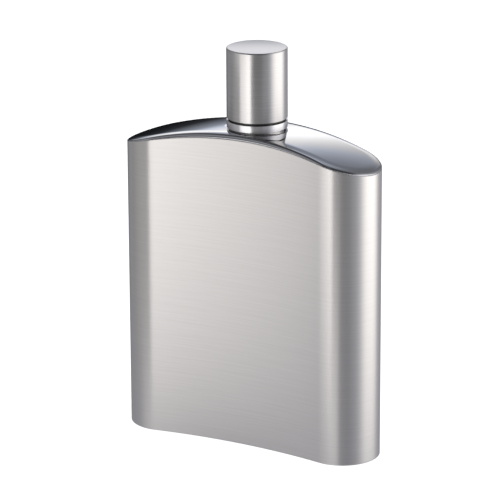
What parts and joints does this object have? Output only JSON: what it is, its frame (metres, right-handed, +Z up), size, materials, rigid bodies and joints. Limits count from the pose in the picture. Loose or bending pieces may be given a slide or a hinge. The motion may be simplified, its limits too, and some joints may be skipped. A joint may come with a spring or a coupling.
{
  "type": "hip flask",
  "caption": "Curved stainless hip flask with a brushed wrap-around body, a polished arched top and a tall screw cap on a threaded neck.",
  "frame": {"origin": "middle of the footprint's box, on the plane the flask stands on; the neck's axis is a little towards +Y of it", "axes": "+Z up along the neck, +X along the flask's width, -Y out of the concave face that lies against the hip"},
  "size_m": [0.095, 0.0286, 0.1372],
  "materials": {
    "brushed_steel": "horizontal hairline brushed stainless steel",
    "polished_steel": "mirror polished stainless steel",
    "satin_steel": "satin turned stainless steel",
    "turned_steel": "circumferentially brushed stainless steel",
    "liner_plastic": "moulded black polypropylene",
    "seal_silicone": "food grade silicone, natural translucent white"
  },
  "bodies": {
    "flask": {"body_shell": "brushed_steel", "top_plate": "polished_steel", "base_plate": "brushed_steel", "neck": "satin_steel", "collar": "turned_steel"},
    "seal": {"cap_seal": "seal_silicone"},
    "cap": {"cap_shell": "turned_steel", "cap_liner": "liner_plastic"}
  },
  "joints": [
    {"name": "cap_lift", "type": "slide", "parent": "flask", "child": "seal", "axis": [0, 0, 1], "range_m": [0, 0.018]},
    {"name": "cap_turn", "type": "hinge", "parent": "seal", "child": "cap", "pos_m": [0, 0.00152, 0.12], "axis": [0, 0, 1], "range_deg": [0, 2160]}
  ],
  "couplings": [
    {"joint": "cap_lift", "follows": "cap_turn", "m_per_rad": 0.00047746}
  ]
}
